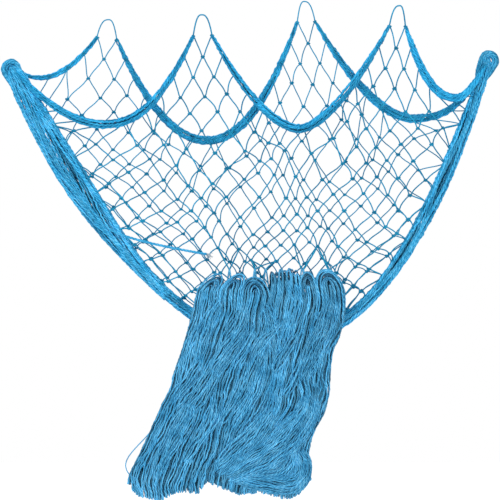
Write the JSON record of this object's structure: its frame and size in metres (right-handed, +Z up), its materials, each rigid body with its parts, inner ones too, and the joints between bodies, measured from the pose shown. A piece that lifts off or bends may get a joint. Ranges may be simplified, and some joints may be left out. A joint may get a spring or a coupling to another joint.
{
  "type": "hanging fishing net",
  "caption": "Knotted rope fishing net folded in two layers and hung in swags from six points, its sides gathered, with a folded hank of netting in front",
  "frame": {"origin": "inside top of the highest hanging loop, where its hook bears; it lies in the back layer, 12 mm behind the front layer", "axes": "+X to the right along the row of hooks, +Y back to the wall, +Z up"},
  "size_m": [1.094, 0.1522, 1.0902],
  "materials": {
    "net_twine": "blue braided cotton twine",
    "band_twine": "blue braided cotton twine, gathered in bundles",
    "hank_twine": "blue braided cotton twine, folded in a hank"
  },
  "bodies": {
    "net": {"front_left_warps": "net_twine", "front_left_shuttles": "net_twine", "front_middle_warps": "net_twine", "front_middle_shuttles": "net_twine", "front_right_warps": "net_twine", "front_right_shuttles": "net_twine", "back_left_warps": "net_twine", "back_left_shuttles": "net_twine", "back_middle_warps": "net_twine", "back_middle_shuttles": "net_twine", "back_right_warps": "net_twine", "back_right_shuttles": "net_twine", "front_left_head_band": "band_twine", "front_middle_head_band": "band_twine", "front_right_head_band": "band_twine", "back_left_head_band": "band_twine", "back_middle_head_band": "band_twine", "back_right_head_band": "band_twine", "back_left_hang_loop": "net_twine", "front_left_hang_loop": "net_twine", "back_right_hang_loop": "net_twine", "front_right_hang_loop": "net_twine", "left_end_bunch": "band_twine", "right_end_bunch": "band_twine", "left_side_gather": "band_twine", "right_side_gather": "band_twine", "foot_gather": "band_twine", "stray_strand": "net_twine"},
    "hank": {"hank_fold_1": "hank_twine", "hank_fold_2": "hank_twine", "hank_fold_3": "hank_twine", "hank_fold_4": "hank_twine", "hank_fold_5": "hank_twine", "hank_front_sweep": "hank_twine", "hank_loose_loop": "hank_twine"}
  },
  "joints": [
    {"name": "hank_swing", "type": "hinge", "parent": "net", "child": "hank", "pos_m": [-0.0725, -0.036, -0.588], "axis": [-1, 0, 0], "range_deg": [0, 60]}
  ]
}
